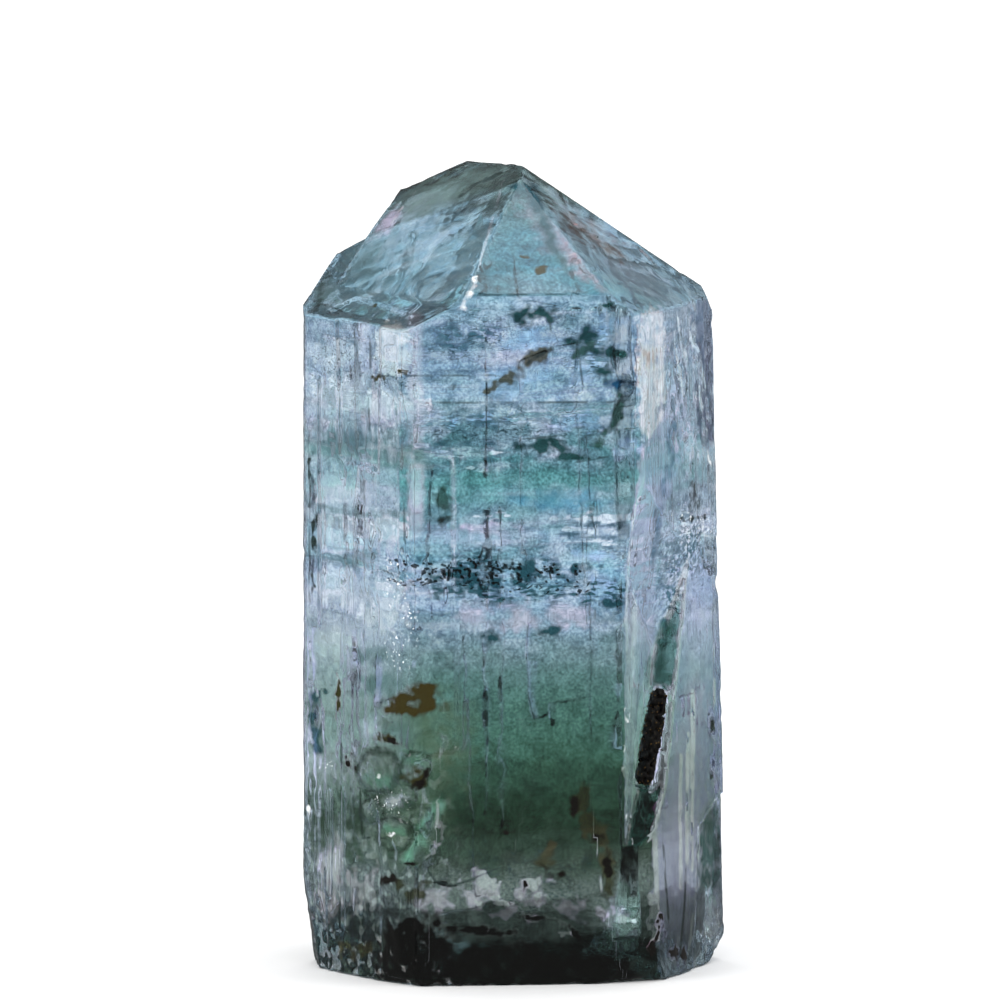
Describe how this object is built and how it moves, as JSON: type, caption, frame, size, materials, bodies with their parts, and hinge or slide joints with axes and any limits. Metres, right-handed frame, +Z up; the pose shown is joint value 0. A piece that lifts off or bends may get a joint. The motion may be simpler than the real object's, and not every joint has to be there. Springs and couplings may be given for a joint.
{
  "type": "apatite crystal",
  "caption": "Blue-green hexagonal apatite crystal with a pyramid tip and a channel down one edge that holds a dark mineral grain, standing on its broken foot.",
  "frame": {"origin": "middle of the crystal's box on the resting plane, under the broken foot", "axes": "+Z up along the crystal's c axis, -Y out of the widest prism face, +X to the right as seen facing that face"},
  "size_m": [0.0106, 0.0082, 0.0199],
  "materials": {
    "apatite": "clear to cloudy blue-green crystal, glassy faces, deep green towards the foot",
    "dark_mineral": "near-black grainy mineral with brown and gold specks"
  },
  "bodies": {
    "root": {"apatite_crystal": "apatite", "dark_mineral_grain": "dark_mineral"}
  },
  "joints": []
}
